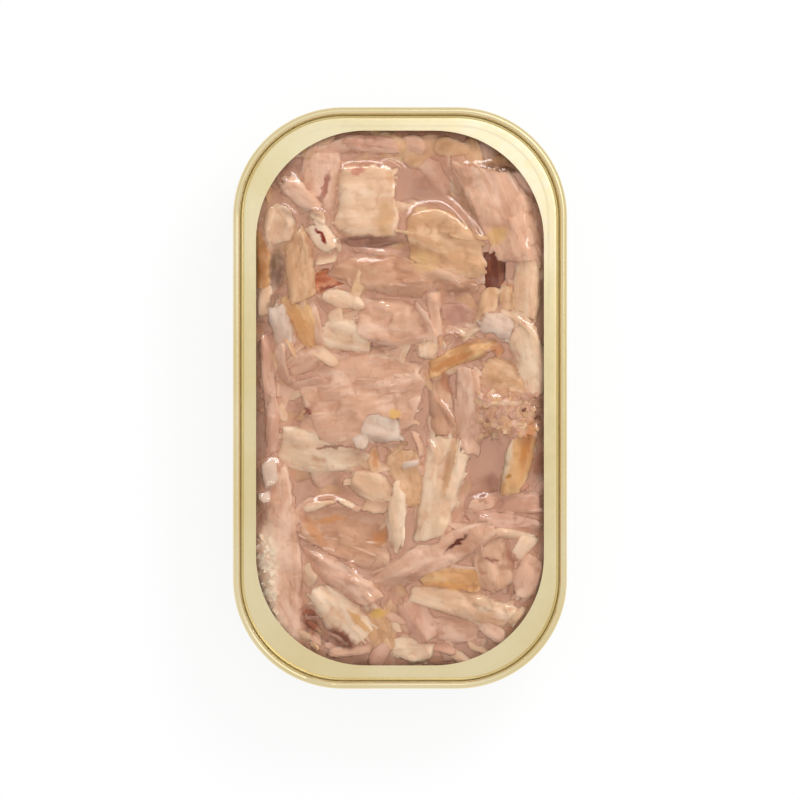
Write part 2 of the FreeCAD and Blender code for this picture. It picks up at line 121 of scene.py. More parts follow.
def lacquered(name, groove_floor=None, shoulder=None):
    """Gold-lacquered metal.  Towards the height groove_floor its colour is darker and its surface
    rougher:
    painted shade of the deep groove with a little dried broth, less on faces turned outward, which are
    the groove's inner side.  The lacquer has run full up the groove's inner side and in the step just
    below the height shoulder."""
    material = bpy.data.materials.new(name)
    material.use_nodes = True
    tree = material.node_tree
    shader = tree.nodes["Principled BSDF"]
    shader.inputs["Metallic"].default_value = 1.0
    where = tree.nodes.new("ShaderNodeTexCoord").outputs["Object"]
    cloud = ramp(tree, noise(tree, where, 45, 2), 0.35, 0.65)
    tone = mix_colours(tree, linear(236, 216, 164), linear(242, 225, 181), cloud)
    rub = ramp(tree, noise(tree, where, 700, 3), 0.3, 0.7, 0.16, 0.22)
    if groove_floor is not None:
        split = tree.nodes.new("ShaderNodeSeparateXYZ")
        tree.links.new(where, split.inputs[0])
        level = tree.nodes.new("ShaderNodeVectorMath")
        level.operation = "MULTIPLY"
        level.inputs[1].default_value = (1, 1, 0)
        tree.links.new(where, level.inputs[0])
        facing = tree.nodes.new("ShaderNodeNewGeometry").outputs["Normal"]
        across = tree.nodes.new("ShaderNodeVectorMath")
        across.operation = "DOT_PRODUCT"
        tree.links.new(facing, across.inputs[0])
        tree.links.new(level.outputs[0], across.inputs[1])
        outward = ramp(tree, across.outputs["Value"], 0.0, 8 * mm)
        # Painted shade with a little dried broth: darker and rougher towards the groove's floor, less on
        # faces turned outward.
        groove_shade_and_broth = ramp(tree, split.outputs["Z"], groove_floor + 0.6 * mm, groove_floor)
        groove_shade_and_broth = combined(tree, "MULTIPLY", groove_shade_and_broth, ramp(tree, across.outputs["Value"], 0.0, 8 * mm, 1, 0.2))
        tone = mix_colours(tree, tone, linear(218, 200, 138), groove_shade_and_broth)
        rub = combined(tree, "MAXIMUM", rub, ramp(tree, groove_shade_and_broth, 0, 1, 0, 0.42))
        flat = ramp(tree, split.outputs["Z"], shoulder - 0.65 * mm, shoulder - 0.25 * mm, 0, 0.97)
        flat = combined(tree, "MAXIMUM", flat, ramp(tree, outward, 0, 1, 0, 0.75))
        flat = combined(tree, "MULTIPLY", flat,
                        ramp(tree, split.outputs["Z"], shoulder + 0.03 * mm, shoulder + 0.06 * mm, 1, 0))
        smooth = tree.nodes.new("ShaderNodeMix")
        smooth.data_type = "VECTOR"
        tree.links.new(flat, smooth.inputs[0])
        tree.links.new(facing, smooth.inputs[4])
        smooth.inputs[5].default_value = (0, 0, 1)
        tree.links.new(smooth.outputs[1], shader.inputs["Normal"])
    tree.links.new(tone, shader.inputs["Base Color"])
    tree.links.new(rub, shader.inputs["Roughness"])
    return material


groove_depth = 3.4 * mm
shoulder_drop = 2.45 * mm
finishes = {"can_body": lacquered("gold_lacquer"),
            "lid_ring": lacquered("gold_lacquer_lid", can_high.z - groove_depth,
                                  can_high.z - shoulder_drop)}
for name, finish in finishes.items():
    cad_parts[name].data.materials.clear()
    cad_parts[name].data.materials.append(finish)


# ---- Jelly ----
# The set broth that the meat is packed in: reddish brown, half clear, filling the
# can up to the meat's crowns.  Deeper down it and the sunk meat blur into one
# brown mass, which is this core.

room_inset = 1.15 * mm
fill_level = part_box("jelly")[1].z
half_x = can_high.x - room_inset
half_y = can_high.y - room_inset
corner = 18.6 * mm
core_drop = 1.15 * mm
core_depth = 3 * mm
core_pitch = 0.9 * mm
swell_height = 0.45 * mm
swell_cell = 6 * mm


def lattice_noise(points, seed):
    """Smooth random values from -1 to 1 at (n, 3) points, one cell to the unit."""
    cell = np.floor(points).astype(np.int64)
    part = points - cell
    blend = part * part * (3 - 2 * part)
    total = np.zeros(len(points))
    for number in range(8):
        step = np.array([number & 1, number >> 1 & 1, number >> 2 & 1])
        key = ((cell + step) * (73856093, 19349663, 83492791)).sum(axis=1) + seed * 40503
        key = ((key ^ (key >> 13)) * 1274126177) & 0x7FFFFFFF
        value = ((key ^ (key >> 15)) & 0xFFFF) / 32767.5 - 1
        total += value * np.prod(np.where(step, blend, 1 - blend), axis=1)
    return total


def room_grid(pitch):
    """Grid points and quads over the can's inside, with the border drawn onto its outline."""
    count_x = int(2 * half_x / pitch) + 1
    count_y = int(2 * half_y / pitch) + 1
    xs = np.linspace(-half_x, half_x, count_x)
    ys = np.linspace(-half_y, half_y, count_y)
    x, y = (a.ravel() for a in np.meshgrid(xs, ys, indexing="ij"))
    out_x = np.maximum(abs(x) - (half_x - corner), 0)
    out_y = np.maximum(abs(y) - (half_y - corner), 0)
    reach = np.hypot(out_x, out_y)
    pull = np.where(reach > corner, corner / np.maximum(reach, 1e-9), 1)
    inside = reach <= corner + pitch * 0.72
    x = np.sign(x) * (np.minimum(abs(x), half_x - corner) + out_x * pull)
    y = np.sign(y) * (np.minimum(abs(y), half_y - corner) + out_y * pull)
    first = (np.arange(count_x - 1)[:, None] * count_y + np.arange(count_y - 1)).ravel()
    quads = np.stack([first, first + count_y, first + count_y + 1, first + 1], axis=1)
    quads = quads[inside[quads].all(axis=1)]
    return x, y, quads, (count_x, count_y)


def new_piece(name, verts, faces):
    """Mesh object of the can, in metres, that rides on the body."""
    mesh = bpy.data.meshes.new(name)
    mesh.from_pydata(verts, [], faces)
    mesh.update()
    mesh.polygons.foreach_set("use_smooth", [True] * len(mesh.polygons))
    piece = bpy.data.objects.new(name, mesh)
    bpy.context.scene.collection.objects.link(piece)
    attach(piece, "root")
    return piece


def drop_loose(mesh):
    """Removes the points that no face uses."""
    work = bmesh.new()
    work.from_mesh(mesh)
    bmesh.ops.delete(work, geom=[v for v in work.verts if not v.link_faces], context="VERTS")
    work.to_mesh(mesh)
    work.free()


x, y, quads, _ = room_grid(core_pitch)
swell = lattice_noise(np.stack([x, y, 0 * x], axis=1) / swell_cell, 3)
top = fill_level - core_drop + swell_height * swell
core = new_piece("jelly_core", np.stack([x, y, top], axis=1).tolist(), quads.tolist())
drop_loose(core.data)
work = bmesh.new()
work.from_mesh(core.data)
skirt = bmesh.ops.extrude_edge_only(work, edges=[e for e in work.edges if e.is_boundary])
skirt_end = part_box("jelly")[0].z + core_depth
low_ring = [v for v in skirt["geom"] if isinstance(v, bmesh.types.BMVert)]
for v in low_ring:
    v.co.z = skirt_end
bmesh.ops.contextual_create(work, geom=[e for e in work.edges if e.is_boundary])
bmesh.ops.recalc_face_normals(work, faces=work.faces)
work.to_mesh(core.data)
work.free()
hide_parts("jelly")

broth = bpy.data.materials.new("jelly_core")
broth.use_nodes = True
tree = broth.node_tree
shader = tree.nodes["Principled BSDF"]
where = tree.nodes.new("ShaderNodeNewGeometry").outputs["Position"]
patch = ramp(tree, noise(tree, where, 170, 3, 0.55, 0.6), 0.36, 0.62)
tree.links.new(mix_colours(tree, linear(166, 108, 82), linear(204, 150, 122), patch),
               shader.inputs["Base Color"])
shader.inputs["Roughness"].default_value = 0.5
shader.inputs["Specular IOR Level"].default_value = 0.05
core.data.materials.append(broth)


# ---- Meat pieces ----
# Flakes, strips and lumps of cooked meat, torn along the grain and pressed into the
# can by hand or machine.  Each keeps the CAD piece's place and size and gets its
# broken faces, fibres, creases and ragged ends here.

# Fibre colours, mottle and flecks of the meat, and painted shade that darkens the dips of its torn
# surface.
fibre_and_shade_group = bpy.data.node_groups.new("meat_fibre", "ShaderNodeTree")
for name, kind in (("Body", "NodeSocketColor"), ("Streak", "NodeSocketColor"),
                   ("Deep", "NodeSocketColor")):
    fibre_and_shade_group.interface.new_socket(name, in_out="INPUT", socket_type=kind)
for name, kind in (("Color", "NodeSocketColor"), ("Roughness", "NodeSocketFloat"),
                   ("Height", "NodeSocketFloat")):
    fibre_and_shade_group.interface.new_socket(name, in_out="OUTPUT", socket_type=kind)
tree = fibre_and_shade_group
given = tree.nodes.new("NodeGroupInput")
made = tree.nodes.new("NodeGroupOutput")
grain = tree.nodes.new("ShaderNodeAttribute")
grain.attribute_name = "grain"
along = tree.nodes.new("ShaderNodeMapping")
along.inputs["Scale"].default_value = (0.28, 1.0, 1.0)
tree.links.new(grain.outputs["Vector"], along.inputs["Vector"])
strands = noise(tree, along.outputs[0], 1150, 4, 0.6, 0.4)
bundles = noise(tree, along.outputs[0], 330, 2, 0.5, 0.8)
mottle = noise(tree, grain.outputs["Vector"], 210, 3, 0.55, 0.5)
tone = mix_colours(tree, given.outputs["Body"], given.outputs["Streak"], ramp(tree, bundles, 0.42, 0.66))
tone = mix_colours(tree, tone, given.outputs["Deep"], ramp(tree, mottle, 0.50, 0.78, 0, 0.75))
tone = mix_colours(tree, tone, given.outputs["Streak"], ramp(tree, strands, 0.50, 0.72, 0, 0.45))
flecks = noise(tree, grain.outputs["Vector"], 820, 3, 0.6, 0.3)
tone = mix_colours(tree, tone, given.outputs["Deep"], ramp(tree, flecks, 0.54, 0.72, 0, 0.45))
# Painted shade: the Deep tone darkens the dips of each piece's torn surface, where shade falls.
painted_hollow_shade = tree.nodes.new("ShaderNodeAttribute")
painted_hollow_shade.attribute_name = "hollow"
tone = mix_colours(tree, tone, given.outputs["Deep"],
                   ramp(tree, painted_hollow_shade.outputs["Fac"], 0.04, 0.26, 0, 0.6))
tree.links.new(tone, made.inputs["Color"])
tree.links.new(ramp(tree, mottle, 0.3, 0.7, 0.42, 0.6), made.inputs["Roughness"])
height = tree.nodes.new("ShaderNodeMath")
height.operation = "MULTIPLY_ADD"
tree.links.new(bundles, height.inputs[0])
height.inputs[1].default_value = 1.6
tree.links.new(strands, height.inputs[2])
tree.links.new(height.outputs[0], made.inputs["Height"])


# Blood, fat and browned spots, and a few patches of painted shade and painted light: where
# each lies on the can, its length and width in millimetres, its heading, its colour and how strong it is.
stains_and_painted_light = [
    (-13.6, 38.0, 6.5, 1.3, 76, (172, 102, 82), 0.85), (-14.2, 29.3, 3.6, 1.0, -57, (150, 46, 26), 1.0),
    (-13.2, 19.9, 3.2, 1.0, 25, (146, 56, 36), 0.85), (-7.6, 41.0, 2.8, 1.7, 10, (208, 134, 116), 0.75),
    (-2.6, 32.5, 7.5, 3.2, 90, (212, 166, 118), 0.75), (17.6, 29.4, 4.4, 3.2, 20, (228, 186, 118), 0.75),
    (12.4, 34.5, 13.0, 1.8, -62, (190, 140, 98), 0.6), (-1.0, -2.9, 2.4, 1.9, 0, (228, 182, 106), 0.95),
    (-16.7, -2.5, 1.8, 1.5, 30, (156, 80, 58), 0.95), (24.8, -3.6, 1.6, 1.2, 0, (110, 58, 32), 0.95),
    (22.3, -2.1, 1.0, 0.8, 0, (126, 72, 42), 0.9), (16.0, -4.2, 1.1, 0.8, 0, (134, 78, 48), 0.9),
    (19.4, -11.5, 8.0, 1.7, -100, (228, 200, 170), 0.85),
    (19.6, -14.2, 1.3, 1.0, 0, (186, 130, 52), 0.95),
    (23.0, -8.2, 9.0, 2.0, -104, (200, 132, 66), 0.85), (9.4, 6.6, 10.0, 1.5, 26, (204, 138, 78), 0.85),
    (10.2, -26.3, 5.0, 0.9, 36, (110, 44, 20), 1.0), (16.4, -29.3, 3.4, 0.6, -10, (166, 98, 82), 0.75),
    (-10.7, -43.5, 6.0, 3.0, -35, (150, 78, 50), 0.95), (-16.2, -40.2, 5.6, 3.2, -70, (158, 82, 44), 0.9),
    (-4.2, -38.9, 3.0, 2.0, 10, (224, 180, 100), 0.95), (4.6, 24.6, 5.5, 4.0, -10, (228, 188, 132), 0.6),
    (8.6, 2.6, 5.5, 2.4, -62, (196, 126, 84), 0.7), (9.0, -12.0, 13.0, 1.6, -102, (202, 144, 90), 0.6),
    (-3.4, -25.2, 3.4, 2.4, 60, (210, 142, 82), 0.8), (17.9, 8.8, 3.4, 2.6, 10, (206, 136, 82), 0.8),
    (-15.6, -24.0, 7.0, 2.2, -55, (206, 140, 84), 0.7), (-24.9, 25.0, 9.0, 2.2, 90, (186, 126, 70), 0.8),
    (-18.4, 14.5, 7.0, 2.0, -64, (206, 146, 82), 0.6), (-4.5, -11.0, 4.0, 1.4, -80, (206, 140, 88), 0.8),
    (10.1, 15.2, 5.4, 4.2, -20, (188, 134, 112), 0.8), (18.4, 41.6, 7.0, 1.3, -9, (132, 92, 64), 0.85),
    # Partly the meat's pale colour, partly painted light: the band along the lower left wall is lightened
    # against the shade under the lip.
    (-24.0, -32.0, 19.0, 4.4, 88, (246, 224, 200), 0.85),
    (-22.4, -41.0, 8.0, 3.0, 110, (240, 214, 188), 0.7),
    # Painted shade: the dark brown patch at (-22.4, 23.4) by the left wall stands for a shaded crevice.
    (-22.4, 23.4, 8.0, 2.8, 88, (132, 90, 62), 0.8), (-22.8, 17.8, 4.0, 2.0, 60, (150, 104, 76), 0.7),
    # Painted shade: the brown band at (-6.0, 28.4) is the shadow under the cream block.
    (-6.0, 28.4, 12.5, 2.2, 0, (172, 116, 90), 0.85), (10.0, -34.2, 8.0, 1.6, -8, (226, 166, 92), 0.6),
    (-12.6, -22.0, 6.0, 1.2, 10, (214, 148, 88), 0.7), (-7.4, -40.6, 7.0, 1.2, -46, (214, 160, 92), 0.7),
    (20.4, -29.0, 3.6, 1.4, -60, (196, 118, 80), 0.6), (-13.0, -8.9, 5.0, 0.7, 4, (150, 84, 58), 0.7),
]
spot_shake = 1.6
spot_reach = 4
stain_and_light_group = bpy.data.node_groups.new("meat_stains", "ShaderNodeTree")
stain_and_light_group.interface.new_socket("Color", in_out="INPUT", socket_type="NodeSocketColor")
stain_and_light_group.interface.new_socket("Color", in_out="OUTPUT", socket_type="NodeSocketColor")
tree = stain_and_light_group
tone = tree.nodes.new("NodeGroupInput").outputs["Color"]
place = tree.nodes.new("ShaderNodeAttribute")
place.attribute_name = "place"
blur = tree.nodes.new("ShaderNodeTexNoise")
blur.inputs["Scale"].default_value = 0.9
blur.inputs["Detail"].default_value = 2.0
tree.links.new(place.outputs["Vector"], blur.inputs["Vector"])
shaken = tree.nodes.new("ShaderNodeVectorMath")
shaken.operation = "MULTIPLY_ADD"
tree.links.new(blur.outputs["Color"], shaken.inputs[0])
shaken.inputs[1].default_value = (spot_shake, spot_shake, 0)
tree.links.new(place.outputs["Vector"], shaken.inputs[2])
for x, y, length, width, heading, colour, strength in stains_and_painted_light:
    spot = tree.nodes.new("ShaderNodeMapping")
    spot.vector_type = "TEXTURE"
    spot.inputs["Location"].default_value = (x + spot_shake / 2, y + spot_shake / 2, fill_level / mm)
    spot.inputs["Rotation"].default_value = (0, 0, math.radians(heading))
    spot.inputs["Scale"].default_value = (length / 2, width / 2, spot_reach)
    tree.links.new(shaken.outputs[0], spot.inputs["Vector"])
    far = tree.nodes.new("ShaderNodeVectorMath")
    far.operation = "LENGTH"
    tree.links.new(spot.outputs[0], far.inputs[0])
    tone = mix_colours(tree, tone, linear(*colour),
                       ramp(tree, far.outputs["Value"], 0.55, 1.25, strength, 0))
tree.links.new(tone, tree.nodes.new("NodeGroupOutput").inputs["Color"])


def meat_material(name, body, streak, deep):
    """Moist cooked meat: light scatters a little way in, and fibres run along the grain."""
    material = bpy.data.materials.new(name)
    material.use_nodes = True
    tree = material.node_tree
    shader = tree.nodes["Principled BSDF"]
    group = tree.nodes.new("ShaderNodeGroup")
    group.node_tree = fibre_and_shade_group
    for socket, colour in (("Body", body), ("Streak", streak), ("Deep", deep)):
        group.inputs[socket].default_value = (*linear(*colour), 1)
    # Blood, fat and browned spots, with painted shade and painted light at a few listed places.
    spots = tree.nodes.new("ShaderNodeGroup")
    spots.node_tree = stain_and_light_group
    tree.links.new(group.outputs["Color"], spots.inputs["Color"])
    tree.links.new(spots.outputs["Color"], shader.inputs["Base Color"])
    tree.links.new(group.outputs["Roughness"], shader.inputs["Roughness"])
    bump = tree.nodes.new("ShaderNodeBump")
    bump.inputs["Strength"].default_value = 0.6
    bump.inputs["Distance"].default_value = 0.24 * mm
    tree.links.new(group.outputs["Height"], bump.inputs["Height"])
    tree.links.new(bump.outputs["Normal"], shader.inputs["Normal"])
    shader.inputs["Specular IOR Level"].default_value = 0.05
    shader.inputs["Subsurface Weight"].default_value = 0.3
    shader.inputs["Subsurface Radius"].default_value = (1.0, 0.6, 0.45)
    shader.inputs["Subsurface Scale"].default_value = 0.3 * mm
    return material


tones = {
    "cream": meat_material("meat_cream", (230, 192, 159), (238, 207, 179), (212, 162, 122)),
    "pink": meat_material("meat_pink", (226, 181, 152), (236, 200, 175), (202, 148, 117)),
    "rose": meat_material("meat_rose", (215, 165, 138), (228, 187, 163), (188, 131, 103)),
    "salmon": meat_material("meat_salmon", (213, 164, 132), (226, 185, 155), (190, 135, 101)),
    "tan": meat_material("meat_tan", (221, 175, 134), (232, 194, 157), (198, 146, 100)),
    "gold": meat_material("meat_gold", (220, 167, 114), (231, 190, 142), (194, 134, 78)),
    "lilac": meat_material("meat_lilac", (224, 195, 174), (232, 209, 192), (206, 168, 144)),
    "pale": meat_material("meat_pale", (235, 202, 171), (241, 214, 188), (219, 173, 138)),
    "dark": meat_material("meat_dark", (122, 54, 24), (150, 86, 50), (88, 34, 14)),
    "red": meat_material("meat_red", (212, 130, 84), (222, 160, 116), (170, 80, 44)),
}
voxel = 0.28


def break_faces(work, reach, chance, seed):
    """Chops a closed mesh with a few planes, as meat breaks: corners, top edges, crown."""
    draw = np.random.default_rng(seed)
    cuts = []
    for end in (-1, 1):
        for side in (-1, 1):
            if draw.random() < chance:
                turn = draw.uniform(0.35, 1.2)
                place = Vector((end * reach.x * draw.uniform(0.72, 0.95),
                                side * reach.y * draw.uniform(0.72, 0.98), 0))
                cuts.append((place, Vector((end * math.cos(turn), side * math.sin(turn),
                                            draw.uniform(-0.15, 0.4)))))
    for side in (-1, 1):
        place = Vector((0, side * reach.y * draw.uniform(0.70, 0.90), reach.z * 0.95))
        cuts.append((place, Vector((draw.uniform(-0.2, 0.2), side * draw.uniform(0.35, 0.7), 0.8))))
    place = Vector((0, 0, reach.z * draw.uniform(0.86, 0.95)))
    cuts.append((place, Vector((draw.uniform(-0.04, 0.04), draw.uniform(-0.08, 0.08), 1))))
    for place, facing in cuts:
        everything = list(work.verts) + list(work.edges) + list(work.faces)
        bmesh.ops.bisect_plane(work, geom=everything, plane_co=place, plane_no=facing.normalized(),
                               clear_outer=True)
        bmesh.ops.holes_fill(work, edges=[e for e in work.edges if e.is_boundary], sides=0)


def store(mesh, name, points):
    """Keeps a vector for each point of a mesh, for its material to read."""
    kept = mesh.attributes.new(name, "FLOAT_VECTOR", "POINT")
    kept.data.foreach_set("vector", np.ascontiguousarray(points, dtype=np.float32).ravel())


def turned(points, heading):
    """Points turned about the upright axis by a heading in degrees."""
    c, s = math.cos(math.radians(heading)), math.sin(math.radians(heading))
    return np.stack([points[:, 0] * c - points[:, 1] * s, points[:, 0] * s + points[:, 1] * c,
                     points[:, 2]], axis=1)


def torn_meat(node, heading, seed, fibre=1.0, chance=0.5):
    """Mesh of a CAD piece in metres about its own middle, grain along X, with torn fibres."""
    low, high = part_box(node)
    middle = (low + high) / 2
    to_grain = Matrix.Rotation(-math.radians(heading), 4, "Z") @ Matrix.Translation(-middle)
    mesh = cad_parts[node].data.copy()
    mesh.transform(Matrix.Scale(1 / mm, 4) @ to_grain)
    work = bmesh.new()
    work.from_mesh(mesh)
    bmesh.ops.remove_doubles(work, verts=work.verts, dist=1e-3)
    reach = Vector([max(abs(v.co[i]) for v in work.verts) for i in range(3)])
    break_faces(work, reach, chance, seed)
    work.to_mesh(mesh)
    work.free()
    holder = bpy.data.objects.new("remesh", mesh)
    bpy.context.scene.collection.objects.link(holder)
    remesh = holder.modifiers.new("remesh", "REMESH")
    remesh.mode = "VOXEL"
    remesh.voxel_size = voxel
    ready = holder.evaluated_get(bpy.context.evaluated_depsgraph_get())
    fine = bpy.data.meshes.new_from_object(ready)
    bpy.data.objects.remove(holder)
    bpy.data.meshes.remove(mesh)
    count = len(fine.vertices)
    points = np.empty(count * 3)
    fine.vertices.foreach_get("co", points)
    points = points.reshape(-1, 3)
    normals = np.empty(count * 3)
    fine.vertices.foreach_get("normal", normals)
    normals = normals.reshape(-1, 3)
    store(fine, "grain", (points + np.random.default_rng(seed).uniform(-500, 500, 3)) * mm)
    lump = lattice_noise(points / 2.6, seed)
    bundle = lattice_noise(points / (6, 1.1, 1.1), seed + 1)
    strand = lattice_noise(points / (2.6, 0.45, 0.45), seed + 2)
    bent = points + 0.9 * np.stack([lattice_noise(points / 2.2, seed + i) for i in (7, 8, 9)], axis=1)
    crack = np.clip(1 - 8 * abs(lattice_noise(bent / (3.4, 1.8, 1.8), seed + 3)), 0, 1)
    grit = lattice_noise(points / (1.2, 0.7, 0.7), seed + 10)
    plates = np.tanh(9 * lattice_noise(points / (3.4, 2.4, 2.4), seed + 5))
    out = 0.13 * lump + fibre * (0.07 * bundle + 0.05 * strand - 0.16 * crack
                                 + 0.08 * plates + 0.05 * grit)
    side = 1 - abs(normals[:, 2])
    out += side * (0.28 * lattice_noise(points / (1.7, 1.7, 3.0), seed + 11)
                   + 0.16 * lattice_noise(points / (0.8, 0.8, 2.0), seed + 12))
    ends = np.clip((abs(points[:, 0]) - 0.66 * reach.x) / (0.34 * reach.x), 0, 1)
    ragged = fibre * ends * (0.15 * lattice_noise(points / (30, 0.8, 0.8), seed + 4)
                             + 0.5 * lattice_noise(points / (30, 2.4, 2.4), seed + 6))
    points += normals * out[:, None]
    points[:, 0] += ragged * np.sign(points[:, 0])
    fine.vertices.foreach_set("co", (points * mm).ravel())
    fine.update()
    store(fine, "place", turned(points, heading) + np.array(middle) / mm)
    # How far each point lies sunk in, for the material's painted shade in the dips.
    hollow = fine.attributes.new("hollow", "FLOAT", "POINT")
    hollow.data.foreach_set("value", np.ascontiguousarray(-out, dtype=np.float32))
    fine.polygons.foreach_set("use_smooth", [True] * len(fine.polygons))
    return fine, middle


meat = {
    # node: (heading of its grain in degrees from +X, tone, slot)
    "yellow_strap": (26, "gold", "meat_tan"), "pink_shred": (-82, "pink", "meat_pink"),
    "lilac_lump": (-20, "lilac", "meat_cream"), "pale_lump": (-10, "lilac", "meat_cream"),
    "leaf_flake": (-74, "pale", "meat_cream"), "side_flake": (-92, "cream", "meat_cream"),
    "dark_lump": (-88, "dark", "meat_dark"), "corner_wedge": (-68, "pink", "meat_cream"),
    "shell_flake": (-15, "tan", "meat_cream"), "cream_block": (4, "cream", "meat_cream"),
    "cleft_flake": (93, "pink", "meat_pink"), "bar_flake": (-42, "pink", "meat_pink"),
    "rim_flake": (-4, "rose", "meat_pink"), "cap_lump": (80, "cream", "meat_cream"),
    "vein_flap": (-56, "pale", "meat_pink"), "tan_plank": (-88, "tan", "meat_tan"),
    "amber_plank": (-64, "gold", "meat_tan"), "wall_strip": (90, "gold", "meat_tan"),
    "white_flake": (-76, "lilac", "meat_cream"), "pink_bundle": (-11, "salmon", "meat_pink"),
    "red_wedge": (8, "red", "meat_dark"), "cream_spindle": (-16, "cream", "meat_cream"),
    "oval_flake": (-3, "pink", "meat_pink"), "cream_lump": (-12, "pale", "meat_cream"),
    "small_slab": (25, "pink", "meat_cream"), "left_strand": (-86, "rose", "meat_pink"),
    "left_ribbon": (-90, "rose", "meat_pink"), "cream_tab": (82, "cream", "meat_cream"),
    "mauve_flake": (-20, "rose", "meat_pink"), "centre_slab": (7, "pink", "meat_pink"),
    "tan_flake": (-20, "tan", "meat_tan"), "salmon_strip": (-85, "salmon", "meat_tan"),
    "long_plank": (-90, "pink", "meat_cream"), "crumb_heap": (-5, "tan", "meat_tan"),
    "orange_strap": (-104, "gold", "meat_tan"), "lower_plank": (-102, "pale", "meat_cream"),
    "cream_shelf": (-9, "pale", "meat_cream"), "left_slab": (-84, "pink", "meat_pink"),
    "shard_fan": (-74, "tan", "meat_cream"), "tan_lump": (-25, "cream", "meat_tan"),
    "splinter": (-93, "pale", "meat_cream"), "pink_strap": (-35, "pink", "meat_pink"),
    "salmon_flake": (-12, "salmon", "meat_tan"), "diag_bundle": (27, "pink", "meat_tan"),
    "gold_flake": (-42, "pale", "meat_cream"), "creased_chunk": (-82, "salmon", "meat_pink"),
    "ridged_end": (-13, "cream", "meat_pink"), "amber_lump": (-2, "gold", "meat_tan"),
    "tan_cheek": (-75, "tan", "meat_tan"), "pale_foot": (-60, "rose", "meat_cream"),
    "rosy_chip": (-8, "pink", "meat_pink"), "foot_lump": (-8, "pale", "meat_cream"),
    "right_chip": (72, "pink", "meat_cream"), "side_band": (-2, "rose", "meat_pink"),
    "pale_band": (-9, "rose", "meat_cream"), "near_pebble": (85, "tan", "meat_tan"),
    "far_pebble": (95, "tan", "meat_tan"),
}
whole = ("cream_block", "cleft_flake", "corner_wedge", "left_slab", "oval_flake", "pale_lump",
         "lilac_lump", "dark_lump")
chunks = []
for seed, (node, (heading, tone, slot)) in enumerate(meat.items()):
    mesh, middle = torn_meat(node, heading, 10 * seed, chance=0.1 if node in whole else 0.5)
    mesh.name = "meat_" + node
    mesh.materials.clear()
    mesh.materials.append(tones[tone])
    piece = bpy.data.objects.new("meat_" + node, mesh)
    bpy.context.scene.collection.objects.link(piece)
    piece.location = middle
    piece.rotation_euler.z = math.radians(heading)
    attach(piece, "root")
    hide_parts(node)
    chunks.append(piece)


# ---- Shreds and sunk scraps ----
# What the tearing leaves: small shreds and crumbs that fill the gaps between the pieces,
# and larger scraps under the jelly, which only show as soft shapes where it is clear.

def torn_scrap(length, width, thick, draw):
    """Points and faces of one scrap in millimetres, its grain along X, blunt at both ends."""
    around = 16
    turn = np.arange(around) * 2 * math.pi / around
    square = draw.uniform(0.45, 0.85)
    x = np.sign(np.cos(turn)) * abs(np.cos(turn)) ** square
    y = np.sign(np.sin(turn)) * abs(np.sin(turn)) ** square
    y = y * (1 + draw.uniform(-0.45, 0.45) * x) + draw.uniform(-0.5, 0.5) * (x * x - 0.4)
    x = 0.5 * length * x + draw.uniform(-0.5, 0.5) * 0.5 * width * y
    y = 0.5 * width * y * draw.uniform(0.85, 1.15, around)
    lean = thick * (draw.uniform(-0.3, 0.3) * x / length + draw.uniform(-0.6, 0.6) * y / width)
    profile = ((0.6, -0.48), (0.93, -0.34), (1.0, 0.0), (0.95, 0.34), (0.78, 0.46), (0.40, 0.5))
    points = [np.array([[0, 0, -0.5 * thick]])]
    for share, height in profile:
        points.append(np.stack([x * share, y * share, thick * height + lean * share], axis=1))
    points.append(np.array([[0, 0, 0.5 * thick]]))
    faces = [(0, 1 + (k + 1) % around, 1 + k) for k in range(around)]
    for ring in range(len(profile) - 1):
        low = 1 + ring * around
        for k in range(around):
            after = (k + 1) % around
            faces.append((low + k, low + after, low + around + after, low + around + k))
    low = 1 + (len(profile) - 1) * around
    faces += [(low + k, low + (k + 1) % around, low + around) for k in range(around)]
    return np.concatenate(points), faces


def pressed_inside(points, inset=0.3):
    """Points in millimetres, with those beyond the can's inside wall pressed back against it."""
    wide, deep, bend = half_x / mm - inset, half_y / mm - inset, corner / mm - inset
    out_x = np.maximum(abs(points[:, 0]) - (wide - bend), 0)
    out_y = np.maximum(abs(points[:, 1]) - (deep - bend), 0)
    pull = np.minimum(1, bend / np.maximum(np.hypot(out_x, out_y), 1e-9))
    x = np.sign(points[:, 0]) * (np.minimum(abs(points[:, 0]), wide - bend) + out_x * pull)
    y = np.sign(points[:, 1]) * (np.minimum(abs(points[:, 1]), deep - bend) + out_y * pull)
    return np.stack([x, y, points[:, 2]], axis=1)


class Heap:
    """Many scraps gathered into one mesh, each with its own grain."""

    def __init__(self):
        self.points, self.grain, self.faces, self.count = [], [], [], 0

    def add(self, at, size, heading, draw, rough=0.12):
        """Adds a scrap of a length, width and thickness, with its middle at a place."""
        points, faces = torn_scrap(*size, draw)
        shift = draw.uniform(-500, 500, 3)
        self.grain.append(points + shift)
        points = points + rough * np.stack([lattice_noise(points / (1.6, 0.6, 0.6) + shift, 90 + i)
                                            for i in range(3)], axis=1)
        self.points.append(pressed_inside(turned(points, heading) + at))
        self.faces += [tuple(i + self.count for i in face) for face in faces]
        self.count += len(points)

    def piece(self, name, slot, material):
        """The heap as one object."""
        points = np.concatenate(self.points)
        made = new_piece(name, (points * mm).tolist(), self.faces)
        store(made.data, "grain", np.concatenate(self.grain) * mm)
        store(made.data, "place", points)
        made.data.materials.append(material)
        return made


